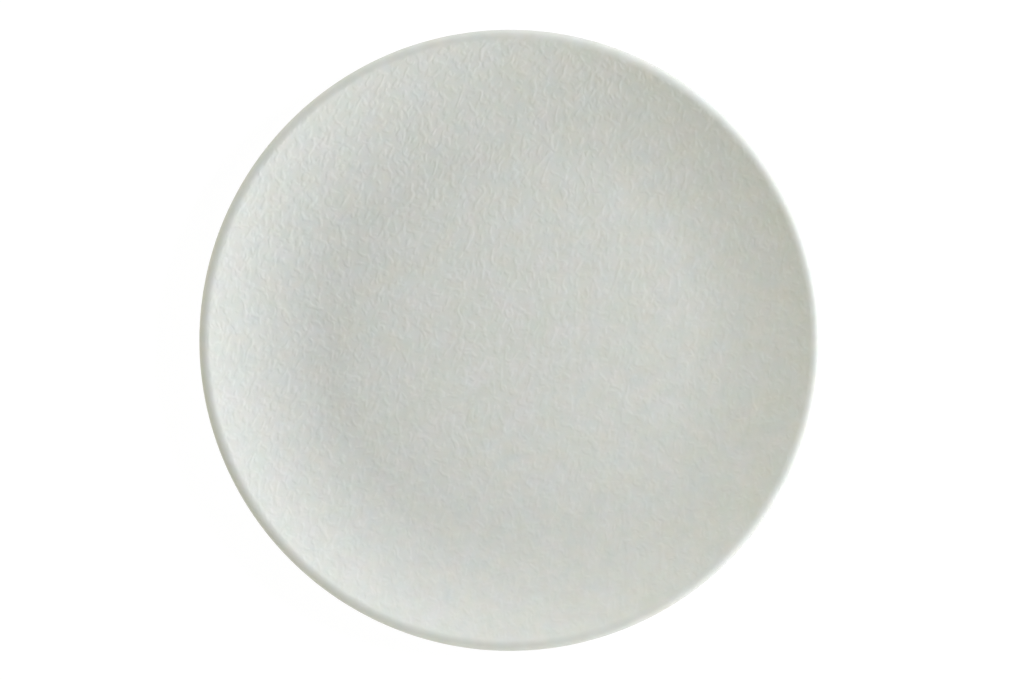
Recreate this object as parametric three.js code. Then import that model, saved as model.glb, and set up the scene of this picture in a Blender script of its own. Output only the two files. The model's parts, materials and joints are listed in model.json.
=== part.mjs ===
// A round coupe plate: one fired clay body under two coats of glaze, which leave its foot ring bare.
// Millimetres, +Z up. The origin is the centre of the plane that the foot ring stands on.
import * as THREE from "three";

// Wall and base, measured on the glazed surface
const plateDiameter = 270;
const wallRun = 53; // level distance from the edge of the flat well to the crown of the lip
const wallRise = 13.5; // height of that crown above the flat well
const baseThickness = 5; // from the flat well down to the recess inside the foot ring

// Lip
const lipThickness = 4; // measured square to the wall
const lipInnerRadius = 4.2; // from the wall over to the crown
const lipEdgeRadius = 1.1; // round the outermost edge
const crownTurn = 50; // degrees that the lip rolls outwards from its crown before that edge

// Foot ring
const footShift = 1; // middle of the foot ring, outwards from the edge of the flat well
const footHeight = 3.5; // from the table to the recess
const footWidth = 3.6; // flat contact face
const footEdgeRadius = 0.8; // on both edges of the contact face
const footDraft = 15; // degrees that the foot's sides lean from upright
const footRootRadius = 1.2; // fillets where the foot meets the back and the recess

// Glaze
const glazeThickness = 0.4;
const bareStrip = 0.6; // clay left bare on each side of the foot, above its rounded edge

// Facets: steps round the plate, and along each arc of its section
const roundSteps = 72;
const wallSteps = 6;
const lipSteps = 2;
const edgeSteps = 4;
const rootSteps = 2;

// The section is drawn in a half plane: x is the distance from the plate's axis, y is the height.
const quarter = Math.PI / 2;
const draft = THREE.MathUtils.degToRad(footDraft);

// The face is one arc that leaves the flat well level and turns over into the lip at wallSlope.
const faceHeight = footHeight + baseThickness;
const crownHeight = faceHeight + wallRise;
const wallSlope = 2 * Math.atan2(wallRise, wallRun);
const faceRadius = wallRun / Math.sin(wallSlope) - lipInnerRadius;

// The lip rolls over its crown on a second arc, sized so that the lip has its thickness.
const edgeAngle = quarter - THREE.MathUtils.degToRad(crownTurn);
const edgeLean = Math.sin(wallSlope - edgeAngle);
const lipRollRadius =
  (lipThickness - lipEdgeRadius * (1 - edgeLean) - lipInnerRadius * (1 - Math.cos(wallSlope))) /
  (edgeLean + Math.cos(wallSlope));
const rollReach = (lipRollRadius - lipEdgeRadius) * Math.cos(edgeAngle);
const crownRadius = plateDiameter / 2 - rollReach - lipEdgeRadius;
const wellRadius = crownRadius - wallRun;

const faceCentre = new THREE.Vector2(wellRadius, faceHeight + faceRadius);
const lipInnerCentre = new THREE.Vector2(crownRadius, crownHeight - lipInnerRadius);
const lipRollCentre = new THREE.Vector2(crownRadius, crownHeight - lipRollRadius);
const lipEdgeCentre = new THREE.Vector2(
  crownRadius + rollReach,
  lipRollCentre.y + (lipRollRadius - lipEdgeRadius) * Math.sin(edgeAngle),
);

// The back leaves the foot level, at the height of the recess, and runs tangent into the lip's edge.
const footRadius = wellRadius + footShift;
const backRun = lipEdgeCentre.x - footRadius;
const backRise = lipEdgeCentre.y - footHeight;
const backRadius =
  (backRun ** 2 + backRise ** 2 - lipEdgeRadius ** 2) / (2 * (backRise - lipEdgeRadius));
const backCentre = new THREE.Vector2(footRadius, footHeight + backRadius);
const backAngle = lipEdgeCentre.clone().sub(backCentre).angle() - 4 * quarter;

// A point by the foot's side: along it from the rounded edge, and out from the clay. The outer side
// has side 1 and the inner side has -1.
function besideFoot(side, along, out) {
  const across =
    footWidth / 2 +
    (footEdgeRadius + out) * Math.cos(draft) +
    along * Math.sin(draft);
  const height =
    footEdgeRadius -
    (footEdgeRadius + out) * Math.sin(draft) +
    along * Math.cos(draft);
  return new THREE.Vector2(footRadius + side * across, height);
}

// The root fillets are limited by the height of the foot that the glaze covers.
const glazeLineHeight = besideFoot(1, bareStrip + glazeThickness, 0).y;
const rootRadius = Math.min(
  footRootRadius,
  (footHeight - glazeLineHeight) / (1 - Math.sin(draft)),
);
const rootOut = glazeThickness + rootRadius;

// The outer fillet touches the foot's side and the arc of the back.
const footSide = new THREE.Vector2(Math.sin(draft), Math.cos(draft));
const fromBack = besideFoot(1, 0, rootOut).sub(backCentre);
const downSide = fromBack.dot(footSide);
const outerAlong =
  -downSide - Math.sqrt(downSide ** 2 - fromBack.lengthSq() + (backRadius + rootRadius) ** 2);
const outerRootCentre = besideFoot(1, outerAlong, rootOut);
const heelAngle = outerRootCentre.clone().sub(backCentre).angle() - 4 * quarter;

// The inner fillet touches the foot's side and the level recess.
const innerAlong =
  (footHeight - rootRadius - besideFoot(-1, 0, rootOut).y) / Math.cos(draft);
const innerRootCentre = besideFoot(-1, innerAlong, rootOut);

function arc(centre, radius, from, to, steps) {
  return new THREE.ArcCurve(centre.x, centre.y, radius, from, to, to < from).getPoints(steps);
}

// Runs arcs and points together. An arc starts where the one before it ends, so that point goes once.
function run(...stretches) {
  const close = 1e-6;
  return stretches
    .flat()
    .filter((point, i, all) => i === 0 || point.distanceTo(all[i - 1]) > close);
}

// The line of the face, lip, back and outer foot, at a depth below the surface of the glaze.
// It runs from the axis to the glaze line, where the glaze thins away over its own thickness.
function coatLine(depth) {
  const cover = glazeThickness - depth;
  return run(
    new THREE.Vector2(0, faceHeight - depth),
    arc(faceCentre, faceRadius + depth, -quarter, wallSlope - quarter, wallSteps),
    arc(lipInnerCentre, lipInnerRadius - depth, quarter + wallSlope, quarter, lipSteps),
    arc(lipRollCentre, lipRollRadius - depth, quarter, edgeAngle, lipSteps),
    arc(lipEdgeCentre, lipEdgeRadius - depth, edgeAngle, backAngle, edgeSteps),
    arc(backCentre, backRadius - depth, backAngle, heelAngle, wallSteps),
    arc(outerRootCentre, rootRadius + depth, heelAngle + 2 * quarter, 2 * quarter - draft, rootSteps),
    besideFoot(1, bareStrip + cover, cover),
  );
}

// The same for the recess: from the axis to the glaze line on the inner side of the foot.
function recessLine(depth) {
  const cover = glazeThickness - depth;
  return run(
    new THREE.Vector2(0, footHeight + depth),
    arc(innerRootCentre, rootRadius + depth, quarter, draft, rootSteps),
    besideFoot(-1, bareStrip + cover, cover),
  );
}

// The bare clay between the two glaze lines, from the inner side of the foot to the outer one.
function bareFootLine() {
  const innerEdge = new THREE.Vector2(footRadius - footWidth / 2, footEdgeRadius);
  const outerEdge = new THREE.Vector2(footRadius + footWidth / 2, footEdgeRadius);
  return run(
    arc(innerEdge, footEdgeRadius, draft - 2 * quarter, -quarter, rootSteps),
    arc(outerEdge, footEdgeRadius, -quarter, -draft, rootSteps),
  );
}

// Turns a section about the plate's axis. It runs anticlockwise in its half plane, from axis to axis.
function turned(section) {
  return new THREE.LatheGeometry(section, roundSteps).rotateX(quarter);
}

// Swaps the diagonal of each four-sided facet, so that a coat's inner facets are those of the clay.
function matchClay(geometry) {
  const corners = geometry.getIndex().array;
  for (let i = 0; i < corners.length; i += 6) {
    const [a, b, d, c] = corners.slice(i, i + 4);
    corners.set([a, b, c, a, c, d], i);
  }
  return geometry;
}

function piece(name, geometry, colour, roughness) {
  const material = new THREE.MeshStandardMaterial({ color: colour, roughness, metalness: 0 });
  const mesh = new THREE.Mesh(geometry, material);
  mesh.name = name;
  return mesh;
}

const claySection = run(
  recessLine(glazeThickness),
  bareFootLine(),
  coatLine(glazeThickness).reverse(),
);
const coatSection = run(coatLine(glazeThickness), coatLine(0).reverse());
const recessSection = run(recessLine(0), recessLine(glazeThickness).reverse());

const plate = new THREE.Group();
plate.name = "coupe_plate";
plate.add(
  piece("plate_body", turned(claySection), 0xe3ddd0, 0.9),
  piece("glaze_coat", matchClay(turned(coatSection)), 0xc8cac3, 0.45),
  piece("foot_well_glaze", matchClay(turned(recessSection)), 0xc8cac3, 0.4),
);

export default plate;
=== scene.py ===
import json
import math

import bpy
import numpy as np
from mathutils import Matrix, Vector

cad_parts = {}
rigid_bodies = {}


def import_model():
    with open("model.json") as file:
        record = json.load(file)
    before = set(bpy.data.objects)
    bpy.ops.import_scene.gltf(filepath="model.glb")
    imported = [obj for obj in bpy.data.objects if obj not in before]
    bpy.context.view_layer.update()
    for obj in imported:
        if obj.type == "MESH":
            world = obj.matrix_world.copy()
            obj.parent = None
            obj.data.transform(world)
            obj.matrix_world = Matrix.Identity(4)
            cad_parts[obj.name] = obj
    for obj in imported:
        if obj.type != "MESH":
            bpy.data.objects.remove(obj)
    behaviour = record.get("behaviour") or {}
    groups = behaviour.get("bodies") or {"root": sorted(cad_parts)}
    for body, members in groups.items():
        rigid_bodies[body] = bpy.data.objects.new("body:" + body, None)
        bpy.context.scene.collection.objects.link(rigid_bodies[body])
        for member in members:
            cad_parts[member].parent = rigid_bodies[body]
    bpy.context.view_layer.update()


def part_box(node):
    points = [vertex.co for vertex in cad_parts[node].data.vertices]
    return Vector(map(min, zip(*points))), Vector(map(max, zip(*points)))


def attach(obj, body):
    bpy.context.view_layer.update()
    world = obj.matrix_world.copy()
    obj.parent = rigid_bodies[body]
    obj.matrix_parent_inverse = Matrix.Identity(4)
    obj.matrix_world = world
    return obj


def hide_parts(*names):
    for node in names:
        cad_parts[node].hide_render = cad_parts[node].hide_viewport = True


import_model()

# The plate's section, in metres, as it is on the glazed surface. x is the distance from the
# plate's axis and y the height. Its overall sizes come from the frame.
plate = {
    "wallRun": 0.053,  # from the edge of the flat well to the crown of the lip
    "wallRise": 0.0135,  # from the flat well up to that crown
    "lipThickness": 0.004,  # square to the wall
    "lipInnerRadius": 0.0042,
    "lipEdgeRadius": 0.0011,
    "crownTurn": math.radians(50),  # how far the lip rolls over before its edge
    "footShift": 0.001,  # middle of the foot ring, outwards from the edge of the well
    "footWidth": 0.0036,  # contact face
    "footEdgeRadius": 0.0008,
    "footDraft": math.radians(15),
    "footRootRadius": 0.0012,
    "bareStrip": 0.0006,  # clay left bare on each side of the foot
}

quarter = math.pi / 2
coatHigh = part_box("glaze_coat")[1]
plateRadius = coatHigh.x
crownHeight = coatHigh.z
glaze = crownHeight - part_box("plate_body")[1].z  # thickness of the coat
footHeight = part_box("foot_well_glaze")[1].z - glaze
faceHeight = crownHeight - plate["wallRise"]
draft = plate["footDraft"]

# Face: one arc leaves the flat well level and turns over into the lip at wallSlope.
wallSlope = 2 * math.atan2(plate["wallRise"], plate["wallRun"])
faceRadius = plate["wallRun"] / math.sin(wallSlope) - plate["lipInnerRadius"]

# Lip: it rolls over its crown on a second arc, which gives it its thickness.
edgeAngle = quarter - plate["crownTurn"]
edgeLean = math.sin(wallSlope - edgeAngle)
rollRadius = (
    plate["lipThickness"]
    - plate["lipEdgeRadius"] * (1 - edgeLean)
    - plate["lipInnerRadius"] * (1 - math.cos(wallSlope))
) / (edgeLean + math.cos(wallSlope))
rollReach = (rollRadius - plate["lipEdgeRadius"]) * math.cos(edgeAngle)
crownRadius = plateRadius - rollReach - plate["lipEdgeRadius"]
wellRadius = crownRadius - plate["wallRun"]
faceCentre = (wellRadius, faceHeight + faceRadius)
lipInnerCentre = (crownRadius, crownHeight - plate["lipInnerRadius"])
lipRollCentre = (crownRadius, crownHeight - rollRadius)
lipEdgeCentre = (
    crownRadius + rollReach,
    lipRollCentre[1] + (rollRadius - plate["lipEdgeRadius"]) * math.sin(edgeAngle),
)

# Back: it leaves the foot level, at the height of the recess, and runs into the lip's edge.
footRadius = wellRadius + plate["footShift"]
backRun = lipEdgeCentre[0] - footRadius
backRise = lipEdgeCentre[1] - footHeight
backRadius = (backRun**2 + backRise**2 - plate["lipEdgeRadius"] ** 2) / (
    2 * (backRise - plate["lipEdgeRadius"])
)
backCentre = (footRadius, footHeight + backRadius)
backAngle = math.atan2(lipEdgeCentre[1] - backCentre[1], backRun)


def besideFoot(side, along, out):
    # a point by the foot's side: along it from its rounded edge, and out from the clay
    edge = plate["footEdgeRadius"] + out
    across = plate["footWidth"] / 2 + edge * math.cos(draft) + along * math.sin(draft)
    height = plate["footEdgeRadius"] - edge * math.sin(draft) + along * math.cos(draft)
    return footRadius + side * across, height


# Root fillets of the foot: the outer one touches the back, the inner one the recess.
lineHeight = besideFoot(1, plate["bareStrip"] + glaze, 0)[1]
rootRadius = min(plate["footRootRadius"], (footHeight - lineHeight) / (1 - math.sin(draft)))
rootOut = glaze + rootRadius
fromBack = np.subtract(besideFoot(1, 0, rootOut), backCentre)
downSide = fromBack @ (math.sin(draft), math.cos(draft))
outerAlong = -downSide - math.sqrt(
    downSide**2 - fromBack @ fromBack + (backRadius + rootRadius) ** 2
)
outerRootCentre = besideFoot(1, outerAlong, rootOut)
heelAngle = math.atan2(
    outerRootCentre[1] - backCentre[1], outerRootCentre[0] - backCentre[0]
)
innerAlong = (footHeight - rootRadius - besideFoot(-1, 0, rootOut)[1]) / math.cos(draft)
innerRootCentre = besideFoot(-1, innerAlong, rootOut)

close = 1e-8  # points nearer than this are one

# Steps along the arcs of the lip, the back and the foot's heel. Each skin takes a multiple of them.
arcSteps = {"lipInner": 3, "lipRoll": 3, "lipEdge": 4, "back": 8, "heel": 2}
beadSteps = 6  # round the end of the glaze

# Skin where clay and glaze meet, the same for both
innerSkin = {
    "finer": 2,  # than arcSteps
    "faceSteps": 12,
    "recessSteps": 6,
    "round": 180,  # vertices round it
}


def arc(centre, radius, start, end, steps):
    turn = np.linspace(start, end, steps + 1)
    return np.column_stack(
        (centre[0] + radius * np.cos(turn), centre[1] + radius * np.sin(turn))
    )


def run(*stretches):
    # joins stretches of a section, and drops a point that repeats the one before it
    points = np.vstack(stretches)
    keep = np.hypot(*np.diff(points, axis=0).T) > close
    return points[np.concatenate(([True], keep))]


def lipAndBack(depth, finer):
    # the lip's inner arc, its roll and its edge, the back, and the fillet at the heel of the foot
    steps = {name: finer * count for name, count in arcSteps.items()}
    inner = plate["lipInnerRadius"] - depth
    edge = plate["lipEdgeRadius"] - depth
    heel = rootRadius + depth
    return (
        arc(lipInnerCentre, inner, quarter + wallSlope, quarter, steps["lipInner"]),
        arc(lipRollCentre, rollRadius - depth, quarter, edgeAngle, steps["lipRoll"]),
        arc(lipEdgeCentre, edge, edgeAngle, backAngle, steps["lipEdge"]),
        arc(backCentre, backRadius - depth, backAngle, heelAngle, steps["back"]),
        arc(outerRootCentre, heel, heelAngle + math.pi, math.pi - draft, steps["heel"]),
    )


def bead(side):
    # the glaze ends in a rounded bead, from its surface in to the clay at the glaze line
    points = []
    for turn in np.linspace(quarter, 0, beadSteps + 1):
        along = plate["bareStrip"] + glaze * (1 - math.cos(turn))
        points.append(besideFoot(side, along, glaze * math.sin(turn)))
    return np.array(points)


def claySkin():
    # the clay under the coat, from the heel of the foot up the back and over to the axis
    downTheBack = lipAndBack(glaze, innerSkin["finer"])
    upTheBack = [stretch[::-1] for stretch in downTheBack[::-1]]
    steps = innerSkin["faceSteps"]
    underFace = arc(faceCentre, faceRadius + glaze, wallSlope - quarter, -quarter, steps)
    return run(*upTheBack, underFace, [(0, faceHeight - glaze)])


def recessSkin():
    # the clay over the recess, from the axis to the inner side of the foot
    steps = innerSkin["recessSteps"]
    fillet = arc(innerRootCentre, rootRadius + glaze, quarter, draft, steps)
    return run([(0, footHeight + glaze)], fillet)


def rings(points, count):
    # each point of a section becomes a ring of count vertices, or one vertex on the axis
    return [(r, z, count if r > close else 1) for r, z in points]


def turnedMesh(name, profile):
    # joins rings of any counts into one closed skin, from the top of the axis to its bottom
    counts = [count for _, _, count in profile]
    starts = np.concatenate(([0], np.cumsum(counts)))
    spots = []
    corners = []
    for ring, (r, z, count) in enumerate(profile):
        angle = np.arange(count) * 2 * math.pi / count
        spots.append(np.column_stack((r * np.cos(angle), r * np.sin(angle), np.full(count, z))))
        if ring == 0:
            continue
        # walks round this ring and the last one, with a triangle from the middle of each edge
        last = counts[ring - 1]
        lastStart = starts[ring - 1]
        start = starts[ring]
        lastMiddles = (np.arange(last) + 0.5) / last
        middles = (np.arange(count) + 0.5) / count
        if last > 1:
            edge = np.arange(last)
            tip = np.searchsorted(middles, lastMiddles, "left") % count
            triangles = (lastStart + edge, start + tip, lastStart + (edge + 1) % last)
            corners.append(np.column_stack(triangles))
        if count > 1:
            edge = np.arange(count)
            tip = np.searchsorted(lastMiddles, middles, "right") % last
            triangles = (lastStart + tip, start + edge, start + (edge + 1) % count)
            corners.append(np.column_stack(triangles))
    mesh = bpy.data.meshes.new(name)
    mesh.from_pydata(np.vstack(spots), [], np.vstack(corners))
    mesh.shade_smooth()
    piece = bpy.data.objects.new(name, mesh)
    bpy.context.scene.collection.objects.link(piece)
    return piece


def smoothStep(value, low, high):
    share = np.clip((value - low) / (high - low), 0, 1)
    return share * share * (3 - 2 * share)


class Wire:
    # a node's output, so that shader maths reads as sums
    def __init__(self, out):
        self.out = out

    def maths(self, operation, first, second):
        nodes = Nodes(self.out.id_data)
        return nodes.add("Math", {"operation": operation}, {0: first, 1: second})

    def __add__(self, other):
        return self.maths("ADD", self, other)

    def __radd__(self, other):
        return self.maths("ADD", other, self)

    def __sub__(self, other):
        return self.maths("SUBTRACT", self, other)

    def __rsub__(self, other):
        return self.maths("SUBTRACT", other, self)

    def __mul__(self, other):
        return self.maths("MULTIPLY", self, other)

    def __rmul__(self, other):
        return self.maths("MULTIPLY", other, self)


class Nodes:
    # a node tree, with one way to add any node
    def __init__(self, tree):
        self.tree = tree

    def add(self, kind, settings, sockets, out=0):
        node = self.tree.nodes.new("ShaderNode" + kind)
        for key, value in settings.items():
            setattr(node, key, value)
        for key, value in sockets.items():
            if isinstance(value, Wire):
                self.tree.links.new(value.out, node.inputs[key])
            else:
                node.inputs[key].default_value = value
        return Wire(node.outputs[out]) if node.outputs else None

    def noise(self, place, scale, detail=2.0, roughness=0.5):
        sockets = {"Vector": place, "Scale": scale, "Detail": detail, "Roughness": roughness}
        return self.add("TexNoise", {}, sockets)

    def between(self, value, low, high):
        # low and high become 0 and 1, with nothing past them
        sockets = {"Value": value, "From Min": low, "From Max": high}
        return self.add("MapRange", {}, sockets)

    def mix(self, share, first, second, blend="MIX"):
        # the node's sockets for colours are its inputs 6 and 7 and its output 2
        settings = {"data_type": "RGBA", "blend_type": blend}
        return self.add("Mix", settings, {0: share, 6: first, 7: second}, 2)

    def tint(self, colour, share, low, high):
        # takes a colour times low where share is 0, and times high where it is 1
        factors = self.mix(share, (*low, 1.0), (*high, 1.0))
        return self.mix(1.0, colour, factors, "MULTIPLY")

    def surface(self, sockets):
        shader = self.add("BsdfPrincipled", {}, sockets)
        self.add("OutputMaterial", {}, {"Surface": shader})

    def looked(self):
        # 1 where the camera looks, straight or by a reflection or through glass
        rays = ("Is Camera Ray", "Is Glossy Ray", "Is Transmission Ray")
        return sum(self.add("LightPath", {}, {}, ray) for ray in rays)


def newFinish(name):
    material = bpy.data.materials.new(name)
    material.use_nodes = True
    material.node_tree.nodes.clear()
    nodes = Nodes(material.node_tree)
    return material, nodes, nodes.add("TexCoord", {}, {}, "Object")


def tone(colour, *factors):
    return tuple(value * factor for value, factor in zip(colour, factors)) + (1.0,)


# Glaze colour, the same on all sides: cloudy and grained, and cooler or rosier by turns.
glazeColour = {
    "base": (0.585, 0.593, 0.548),
    "clouds": {"scale": 170.0, "detail": 1.0},
    "cool": {"scale": 90.0, "detail": 3.0, "roughness": 0.7},
    "rosy": {"scale": 105.0, "detail": 3.0, "roughness": 0.7},
    "patchRange": (0.3, 0.7),  # of the noise of those three
    "grains": {"scale": 1400.0, "detail": 3.0, "roughness": 0.6},
    "grainRange": (0.25, 0.75),
    "paleness": 0.27,  # 0 is its darkest and 1 its palest, before clouds and grains
    "cloudPale": 0.4,
    "grainPale": 0.06,
    "contrast": 0.06,  # from the base to its darkest and its palest
    "blueness": 0.036,
    "redness": 0.032,
}


def glazed(nodes, place, paler):
    # the glaze's colour, with what a piece adds to its paleness, and its grains
    patches = glazeColour["patchRange"]
    clouds = nodes.between(nodes.noise(place, **glazeColour["clouds"]), *patches)
    cool = nodes.between(nodes.noise(place, **glazeColour["cool"]), *patches)
    rosy = nodes.between(nodes.noise(place, **glazeColour["rosy"]), *patches)
    grains = nodes.noise(place, **glazeColour["grains"])
    grains = nodes.between(grains, *glazeColour["grainRange"])
    cloudy = clouds * glazeColour["cloudPale"] + grains * glazeColour["grainPale"]
    pale = paler + cloudy + glazeColour["paleness"]
    less = 1 - glazeColour["contrast"]
    more = 1 + glazeColour["contrast"]
    base = glazeColour["base"]
    colour = nodes.mix(pale, tone(base, less, less, less), tone(base, more, more, more))
    blue = glazeColour["blueness"]
    colour = nodes.tint(colour, cool, (1.0, 1.0, 1 - blue), (1.0, 1.0, 1 + blue))
    red = glazeColour["redness"]
    colour = nodes.tint(colour, rosy, (1 - red, 1.0, 1.0), (1 + red, 1.0, 1.0))
    return colour, grains


# Face glaze: worm-like wrinkles cover the well and the wall, and fade out on the lip's crown.
faceGlaze = {
    "cell": 0.0004,  # spacing of the face's vertices
    "lipRings": 8,  # from the top of the wall to the lip's crown
    "finer": 3,  # than arcSteps
    "round": 540,  # vertices round the lip's edge and the back
    "seed": 11,
    "waves": 220,
    "waveSpread": 0.3,  # of the waves' lengths
    "stretch": 1.17,  # wrinkles run more along their lean than across it
    "lean": math.radians(-20),  # from upright in the view from above
    "longWorms": {"period": 0.009, "width": 0.7, "breaks": (-0.45, 0.95), "height": 1.0},
    "shortWorms": {"period": 0.007, "width": 0.7, "breaks": (-0.1, 1.1), "height": 0.85},
    "breakPeriod": 0.0046,  # of the waves that break the wrinkles
    "wormHeight": 0.00012,
    "shallowerBy": 0.21,  # how much less the wrinkles rise by the lip, all round
    "deeperTo": math.radians(108),  # the side of the plate where they rise most
    "deeperBy": 0.336,
    "ridgePaleGrooveShade": 0.14,  # how much paler the wrinkles are than the grooves: partly thinner glaze on the ridges, partly painted shade in the grooves
    "roughness": 0.6,
    "wormGloss": 0.06,  # how much less rough it is there
    "grainRoughness": 0.08,
    "specular": 0.4,
    "bump": {"Distance": 0.00002, "Strength": 0.5},
}
faceLength = wellRadius + faceRadius * wallSlope  # along the face from the centre to the lip
crownLength = faceLength + plate["lipInnerRadius"] * wallSlope


def waves(x, y, period, rng):
    # many plane waves of about one period, evenly in all directions, with a deviation of 1
    count = faceGlaze["waves"]
    heading = (np.arange(count) + rng.uniform(0, 1, count)) * 2 * math.pi / count
    phase = rng.uniform(0, 2 * math.pi, count)
    pace = 2 * math.pi / period * np.exp(faceGlaze["waveSpread"] * rng.normal(size=count))
    total = np.zeros(len(x))
    for way, shift, speed in zip(heading, phase, pace):
        total += np.cos(speed * math.cos(way) * x + speed * math.sin(way) * y + shift)
    return total * math.sqrt(2 / count)


def worms(along, angle):
    # height of the wrinkles about their mean, laid out by the true distance along the face
    rng = np.random.default_rng(faceGlaze["seed"])
    x = along * np.cos(angle - faceGlaze["lean"]) * faceGlaze["stretch"]
    y = along * np.sin(angle - faceGlaze["lean"]) / faceGlaze["stretch"]
    height = np.zeros(len(x))
    for kind in (faceGlaze["longWorms"], faceGlaze["shortWorms"]):
        # a ridge follows each line where the waves cancel, broken where others are low
        ridge = np.exp(-((waves(x, y, kind["period"], rng) / kind["width"]) ** 2))
        whole = smoothStep(waves(x, y, faceGlaze["breakPeriod"], rng), *kind["breaks"])
        height = np.maximum(height, kind["height"] * ridge * whole)
    toSide = faceGlaze["deeperBy"] * np.cos(angle - faceGlaze["deeperTo"])
    depth = 1 + (toSide - faceGlaze["shallowerBy"]) * along / crownLength
    fade = 1 - smoothStep(along, faceLength, crownLength)
    return depth * fade * (height - height.mean())


def makeFaceGlaze():
    steps = round(faceLength / faceGlaze["cell"])
    overLip = np.linspace(faceLength, crownLength, faceGlaze["lipRings"] + 1)[1:]
    along = np.concatenate((np.linspace(0, faceLength, steps + 1), overLip))
    upWall = np.clip(along - wellRadius, 0, faceLength - wellRadius) / faceRadius
    tilt = upWall - np.maximum(along - faceLength, 0) / plate["lipInnerRadius"]
    onLip = along > faceLength
    r = np.minimum(along, wellRadius) + faceRadius * np.sin(tilt)
    r[onLip] = crownRadius - plate["lipInnerRadius"] * np.sin(tilt[onLip])
    z = faceHeight + faceRadius * (1 - np.cos(tilt))
    z[onLip] = lipInnerCentre[1] + plate["lipInnerRadius"] * np.cos(tilt[onLip])
    # six vertices more on each next ring make near even triangles all over the face
    perRing = np.maximum(np.rint(6 * along / faceGlaze["cell"]), 1).astype(int)

    glazeEnd = besideFoot(1, plate["bareStrip"] + glaze, glaze)
    outside = run(*lipAndBack(0, faceGlaze["finer"])[1:], [glazeEnd], bead(1))
    profile = (
        list(zip(r, z, perRing))
        + rings(outside[1:], faceGlaze["round"])
        + rings(claySkin(), innerSkin["round"])
    )
    piece = turnedMesh("plate_face_glaze", profile)

    # lifts and sinks the face's vertices along its normal by the wrinkles
    mesh = piece.data
    spots = np.empty(len(mesh.vertices) * 3)
    mesh.vertices.foreach_get("co", spots)
    spots = spots.reshape(-1, 3)
    onFace = slice(perRing.sum())
    inward = np.sin(np.repeat(tilt, perRing))
    upward = np.cos(np.repeat(tilt, perRing))
    angle = np.arctan2(spots[onFace, 1], spots[onFace, 0])
    worm = np.zeros(len(spots))
    worm[onFace] = worms(np.repeat(along, perRing), angle)
    lift = faceGlaze["wormHeight"] * worm[onFace]
    spots[onFace, 0] -= lift * inward * np.cos(angle)
    spots[onFace, 1] -= lift * inward * np.sin(angle)
    spots[onFace, 2] += lift * upward
    mesh.vertices.foreach_set("co", spots.ravel())
    mesh.attributes.new("worm", "FLOAT", "POINT").data.foreach_set("value", worm)
    mesh.update()
    print("face glaze:", len(mesh.vertices), "vertices,", len(mesh.polygons), "faces")
    return piece


def makeFaceGlazeFinish():
    material, nodes, place = newFinish("face_glaze")
    worm = nodes.add("Attribute", {"attribute_name": "worm"}, {}, "Fac")
    # the wrinkles' paleness is partly thinner glaze on the ridges and partly painted shade in the
    # grooves
    colour, grains = glazed(nodes, place, worm * faceGlaze["ridgePaleGrooveShade"])
    rough = faceGlaze["roughness"] - worm * faceGlaze["wormGloss"]
    nodes.surface({
        "Base Color": colour,
        "Roughness": rough + grains * faceGlaze["grainRoughness"],
        "Specular IOR Level": faceGlaze["specular"],
        "Normal": nodes.add("Bump", {}, {"Height": grains, **faceGlaze["bump"]}),
    })
    return material


# Clay body: only its foot ring shows, so the rest is plain.
clayBody = {
    "round": 720,  # vertices round the foot ring
    "edgeSteps": 6,
    "contactRings": 7,
    "colour": (0.72, 0.68, 0.60),
    "grains": {"scale": 2200.0, "detail": 4.0, "roughness": 0.65},
    "grainRange": (0.3, 0.7),
    "grainTones": ((0.9, 0.89, 0.87), (1.04, 1.04, 1.03)),  # times the colour
    "scuffs": {"scale": 90.0, "detail": 3.0},
    "scuffRange": (0.35, 0.65),
    "scuffTones": ((0.86, 0.85, 0.84), (1, 1, 1)),
    "scuffShare": 0.45,
    "roughness": 0.86,
    "grainRoughness": 0.1,
    "bump": {"Distance": 0.00004, "Strength": 0.7},
}


def makeClayBody():
    strip = plate["bareStrip"]
    edge = plate["footEdgeRadius"]
    innerEdge = (footRadius - plate["footWidth"] / 2, edge)
    outerEdge = (footRadius + plate["footWidth"] / 2, edge)
    foot = run(
        [besideFoot(-1, strip, 0)],
        arc(innerEdge, edge, draft - math.pi, -quarter, clayBody["edgeSteps"]),
        np.linspace((innerEdge[0], 0), (outerEdge[0], 0), clayBody["contactRings"]),
        arc(outerEdge, edge, -quarter, -draft, clayBody["edgeSteps"]),
        [besideFoot(1, strip, 0)],
    )
    profile = (
        rings(recessSkin(), innerSkin["round"])
        + rings(foot, clayBody["round"])
        + rings(claySkin(), innerSkin["round"])
    )
    piece = turnedMesh("plate_clay_body", profile[::-1])
    print("clay body:", len(piece.data.vertices), "vertices")
    return piece


def makeClayFinish():
    material, nodes, place = newFinish("bare_clay")
    grains = nodes.between(nodes.noise(place, **clayBody["grains"]), *clayBody["grainRange"])
    scuffs = nodes.between(nodes.noise(place, **clayBody["scuffs"]), *clayBody["scuffRange"])
    fine = [tone(clayBody["colour"], *factors) for factors in clayBody["grainTones"]]
    worn = [tone(clayBody["colour"], *factors) for factors in clayBody["scuffTones"]]
    colour = nodes.mix(clayBody["scuffShare"], nodes.mix(grains, *fine), nodes.mix(scuffs, *worn))
    nodes.surface({
        "Base Color": colour,
        "Roughness": clayBody["roughness"] + grains * clayBody["grainRoughness"],
        "Normal": nodes.add("Bump", {}, {"Height": grains, **clayBody["bump"]}),
    })
    return material


# Recess glaze: a smooth level pool inside the foot ring.
recessGlaze = {
    "round": 540,  # vertices round it
    "flatRings": 24,
    "filletSteps": 8,
    "pools": {"scale": 25.0},
    "poolRange": (0.3, 0.7),
    "poolPale": 0.16,  # from the thickest pools to the thinnest
    "peel": {"scale": 240.0, "detail": 1.0},
    "roughness": 0.4,
    "poolRoughness": 0.06,
    "grainRoughness": 0.04,
    "bump": {"Distance": 0.00006, "Strength": 0.6},
}


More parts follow.
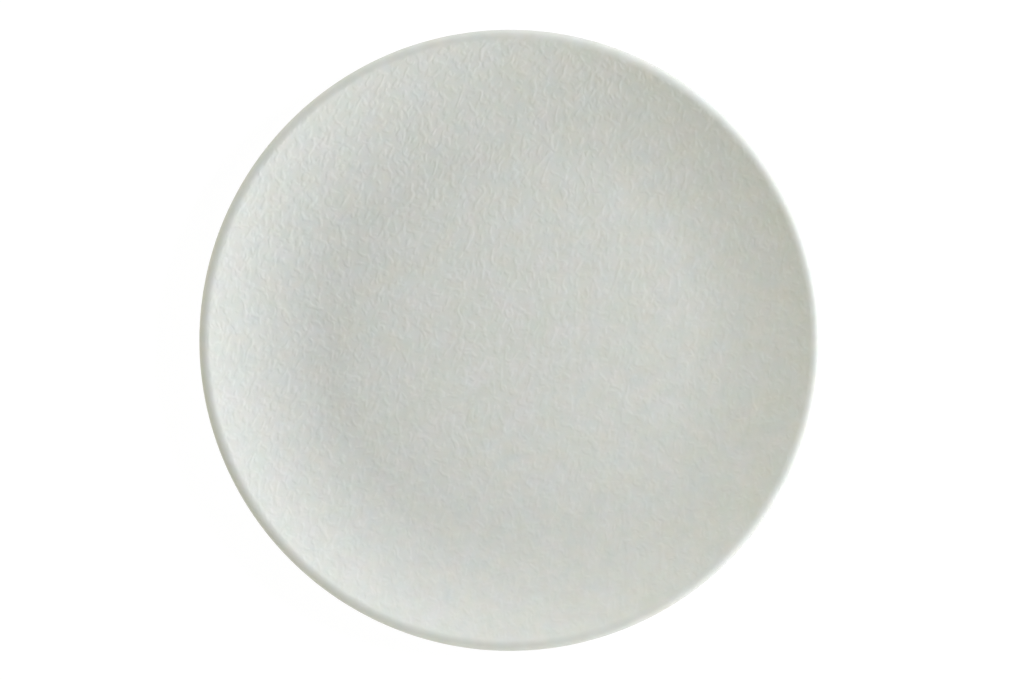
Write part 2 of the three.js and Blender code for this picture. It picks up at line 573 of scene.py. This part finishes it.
def makeRecessGlaze():
    levelEnd = (innerRootCentre[0], footHeight)
    shown = run(
        np.linspace((0, footHeight), levelEnd, recessGlaze["flatRings"]),
        arc(innerRootCentre, rootRadius, quarter, draft, recessGlaze["filletSteps"]),
        [besideFoot(-1, plate["bareStrip"] + glaze, glaze)],
        bead(-1),
    )
    hidden = recessSkin()[::-1]
    profile = rings(shown, recessGlaze["round"]) + rings(hidden, innerSkin["round"])
    piece = turnedMesh("plate_recess_glaze", profile[::-1])
    print("recess glaze:", len(piece.data.vertices), "vertices")
    return piece


def makeRecessGlazeFinish():
    material, nodes, place = newFinish("recess_glaze")
    pools = nodes.noise(place, **recessGlaze["pools"])
    pools = nodes.between(pools, *recessGlaze["poolRange"])
    peel = nodes.noise(place, **recessGlaze["peel"])
    poolPale = recessGlaze["poolPale"]
    colour, grains = glazed(nodes, place, pools * poolPale - poolPale / 2)
    rough = recessGlaze["roughness"] + pools * recessGlaze["poolRoughness"]
    nodes.surface({
        "Base Color": colour,
        "Roughness": rough + grains * recessGlaze["grainRoughness"],
        "Normal": nodes.add("Bump", {}, {"Height": peel, **recessGlaze["bump"]}),
    })
    return material


pieces = (
    (makeFaceGlaze(), makeFaceGlazeFinish(), "glaze_coat", "face_glaze"),
    (makeClayBody(), makeClayFinish(), "plate_body", "bare_clay"),
    (makeRecessGlaze(), makeRecessGlazeFinish(), "foot_well_glaze", "recess_glaze"),
)
for piece, material, node, slot in pieces:
    piece.data.materials.append(material)
    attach(piece, "root")
    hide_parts(node)
print("pieces dressed:", len(pieces))

# Floor: it reads as white, and keeps the plate's shadow, mostly where the plate is over it.
floor = {
    "reach": 12.0,
    "bounce": 0.85,  # how much light it gives back to the plate
    "white": 1.05,
    "lit": (0.6, 0.09, 0.0),  # how much of its white is lit: under the plate, by it, and far off
    "fades": ((0.115, 0.135), (0.3, 0.9)),  # distances from the plate's axis between those
}


def makeFloor():
    reach = floor["reach"]
    mesh = bpy.data.meshes.new("floor")
    corners = [(-reach, -reach, 0), (reach, -reach, 0), (reach, reach, 0), (-reach, reach, 0)]
    mesh.from_pydata(corners, [], [(0, 1, 2, 3)])
    ground = bpy.data.objects.new("floor", mesh)
    bpy.context.scene.collection.objects.link(ground)
    material, nodes, place = newFinish("floor")
    away = nodes.add("VectorMath", {"operation": "LENGTH"}, {0: place}, "Value")

    def white(lit):
        shaded = nodes.add("BsdfDiffuse", {}, {"Color": (lit, lit, lit, 1.0)})
        glow = nodes.add("Emission", {}, {"Strength": floor["white"] - lit})
        return nodes.add("AddShader", {}, {0: shaded, 1: glow})

    seen = white(floor["lit"][0])
    for lit, fade in zip(floor["lit"][1:], floor["fades"]):
        share = nodes.between(away, *fade)
        seen = nodes.add("MixShader", {}, {0: share, 1: seen, 2: white(lit)})
    plain = nodes.add("BsdfDiffuse", {}, {"Color": (floor["bounce"],) * 3 + (1.0,)})
    shader = nodes.add("MixShader", {}, {0: nodes.looked(), 1: plain, 2: seen})
    nodes.add("OutputMaterial", {}, {"Surface": shader})
    mesh.materials.append(material)


# Lamps: a key from the right, a low cooler one under it, three low fills, and a faint dome.
lamps = {
    "key": {
        "azimuth": 15, "elevation": 38, "distance": 1.8, "size": 0.72,
        "power": 31.1, "colour": (0.953, 0.974, 1.0),
    },
    "low_right": {
        "azimuth": 0, "elevation": 8, "distance": 0.9, "size": 0.36,
        "power": 4.65, "colour": (0.882, 0.901, 1.0),
    },
    "upper": {
        "azimuth": 105, "elevation": 8, "distance": 1.8, "size": 0.72,
        "power": 15.3, "colour": (0.96, 0.975, 1.0),
    },
    "left": {
        "azimuth": 180, "elevation": 8, "distance": 1.8, "size": 0.72,
        "power": 15.2, "colour": (1.0, 0.977, 0.78),
    },
    "lower": {
        "azimuth": 270, "elevation": 8, "distance": 0.9, "size": 0.36,
        "power": 3.65, "colour": (0.995, 1.0, 0.951),
    },
}
dome = {
    "light": (0.2, 0.2, 0.2, 1.0),
    "seen": (1.0, 1.0, 1.0, 1.0),
}


def makeLamps():
    for name, lamp in lamps.items():
        data = bpy.data.lights.new(name, "AREA")
        data.shape = "DISK"
        data.size = lamp["size"]
        data.energy = lamp["power"]
        data.color = lamp["colour"]
        light = bpy.data.objects.new(name, data)
        azimuth = math.radians(lamp["azimuth"])
        elevation = math.radians(lamp["elevation"])
        level = lamp["distance"] * math.cos(elevation)
        light.location = (
            level * math.cos(azimuth),
            level * math.sin(azimuth),
            lamp["distance"] * math.sin(elevation),
        )
        light.rotation_mode = "QUATERNION"
        light.rotation_quaternion = light.location.to_track_quat("Z", "Y")
        bpy.context.scene.collection.objects.link(light)


def makeDome():
    world = bpy.data.worlds.new("dome")
    bpy.context.scene.world = world
    world.use_nodes = True
    world.node_tree.nodes.clear()
    nodes = Nodes(world.node_tree)
    light = nodes.add("Background", {}, {"Color": dome["light"], "Strength": 1.0})
    seen = nodes.add("Background", {}, {"Color": dome["seen"], "Strength": 1.0})
    shader = nodes.add("MixShader", {}, {0: nodes.looked(), 1: light, 2: seen})
    nodes.add("OutputWorld", {}, {"Surface": shader})


# Camera: straight above the plate, from far enough that its wall hides nothing.
view = {
    "imageWidth": 1018,
    "plateRadius": 310.6,  # of the lip's edge in the image, in pixels
    "distance": 1.8,  # from the lip's edge
    "aside": (-0.0004, 0.00013),  # from the plate's axis
    "sensor": 36.0,  # in millimetres
}


def makeCamera():
    data = bpy.data.cameras.new("camera")
    data.sensor_width = view["sensor"]
    seenWidth = view["imageWidth"] * plateRadius / view["plateRadius"]
    data.lens = view["sensor"] * view["distance"] / seenWidth
    camera = bpy.data.objects.new("camera", data)
    camera.location = (*view["aside"], lipEdgeCentre[1] + view["distance"])
    bpy.context.scene.collection.objects.link(camera)
    bpy.context.scene.camera = camera


makeFloor()
makeLamps()
makeDome()
makeCamera()
bpy.context.scene.view_settings.view_transform = "Standard"
print("floor, lamps, dome and camera set")
